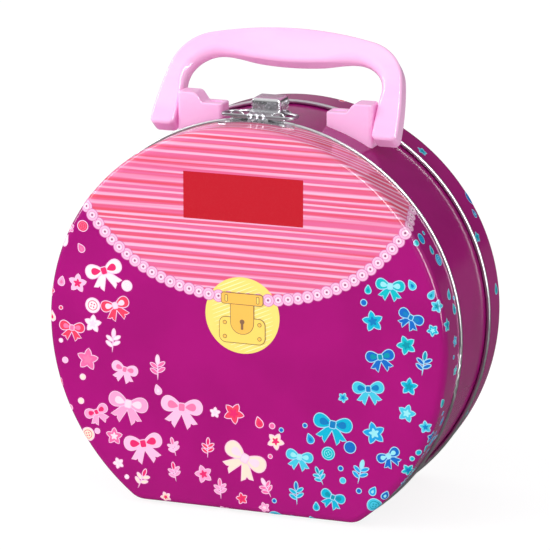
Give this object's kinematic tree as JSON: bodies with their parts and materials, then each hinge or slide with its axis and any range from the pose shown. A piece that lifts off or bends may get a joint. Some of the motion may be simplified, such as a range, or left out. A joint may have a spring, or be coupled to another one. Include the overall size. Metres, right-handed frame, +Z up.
{
  "type": "felt tip pen tin",
  "caption": "Round tinplate carry case with a hinged front lid, chrome lift latch, folding moulded handle and a printed front.",
  "frame": {"origin": "on the table under the middle of the tin, halfway between the front and back faces", "axes": "+Z up through the crown and handle, -Y out of the printed front lid, +X to the right seen from the front"},
  "size_m": [0.2, 0.09, 0.2211],
  "materials": {
    "lid_paint": "gloss printed tinplate",
    "body_paint": "gloss printed tinplate",
    "pink_plastic": "moulded gloss",
    "latch_chrome": "bright plated steel",
    "bright_wire": "bright plated wire",
    "hinge_steel": "plain tinplate",
    "rivet_steel": "bright steel"
  },
  "bodies": {
    "tub": {"body_band": "body_paint", "back_shell": "body_paint", "hinge_pin": "bright_wire", "hinge_strap_left": "hinge_steel", "hinge_strap_right": "hinge_steel", "hinge_strap_rivets": "rivet_steel", "bracket_left": "pink_plastic", "bracket_right": "pink_plastic", "backing_plate_left": "hinge_steel", "backing_plate_right": "hinge_steel", "bracket_screws_left": "rivet_steel", "bracket_screws_right": "rivet_steel", "latch_base": "latch_chrome", "latch_base_rivets": "rivet_steel", "lever_pin": "rivet_steel"},
    "lid": {"front_lid": "lid_paint", "lid_catch": "latch_chrome", "lid_catch_rivets": "rivet_steel"},
    "handle": {"handle": "pink_plastic"},
    "lever": {"latch_lever": "latch_chrome"},
    "bail": {"latch_bail": "bright_wire"}
  },
  "joints": [
    {"name": "lid_hinge", "type": "hinge", "parent": "tub", "child": "lid", "pos_m": [0, -0.023, 0.001], "axis": [1, 0, 0], "range_deg": [0, 120]},
    {"name": "handle_pivot", "type": "hinge", "parent": "tub", "child": "handle", "pos_m": [0, 0.0015, 0.18264], "axis": [1, 0, 0], "range_deg": [-28, 97]},
    {"name": "lever_pivot", "type": "hinge", "parent": "tub", "child": "lever", "pos_m": [0, -0.005, 0.1915], "axis": [1, 0, 0], "range_deg": [-100, 0]},
    {"name": "bail_pivot", "type": "hinge", "parent": "lever", "child": "bail", "pos_m": [0, -0.0075, 0.1877], "axis": [1, 0, 0], "range_deg": [-90, 0]}
  ]
}
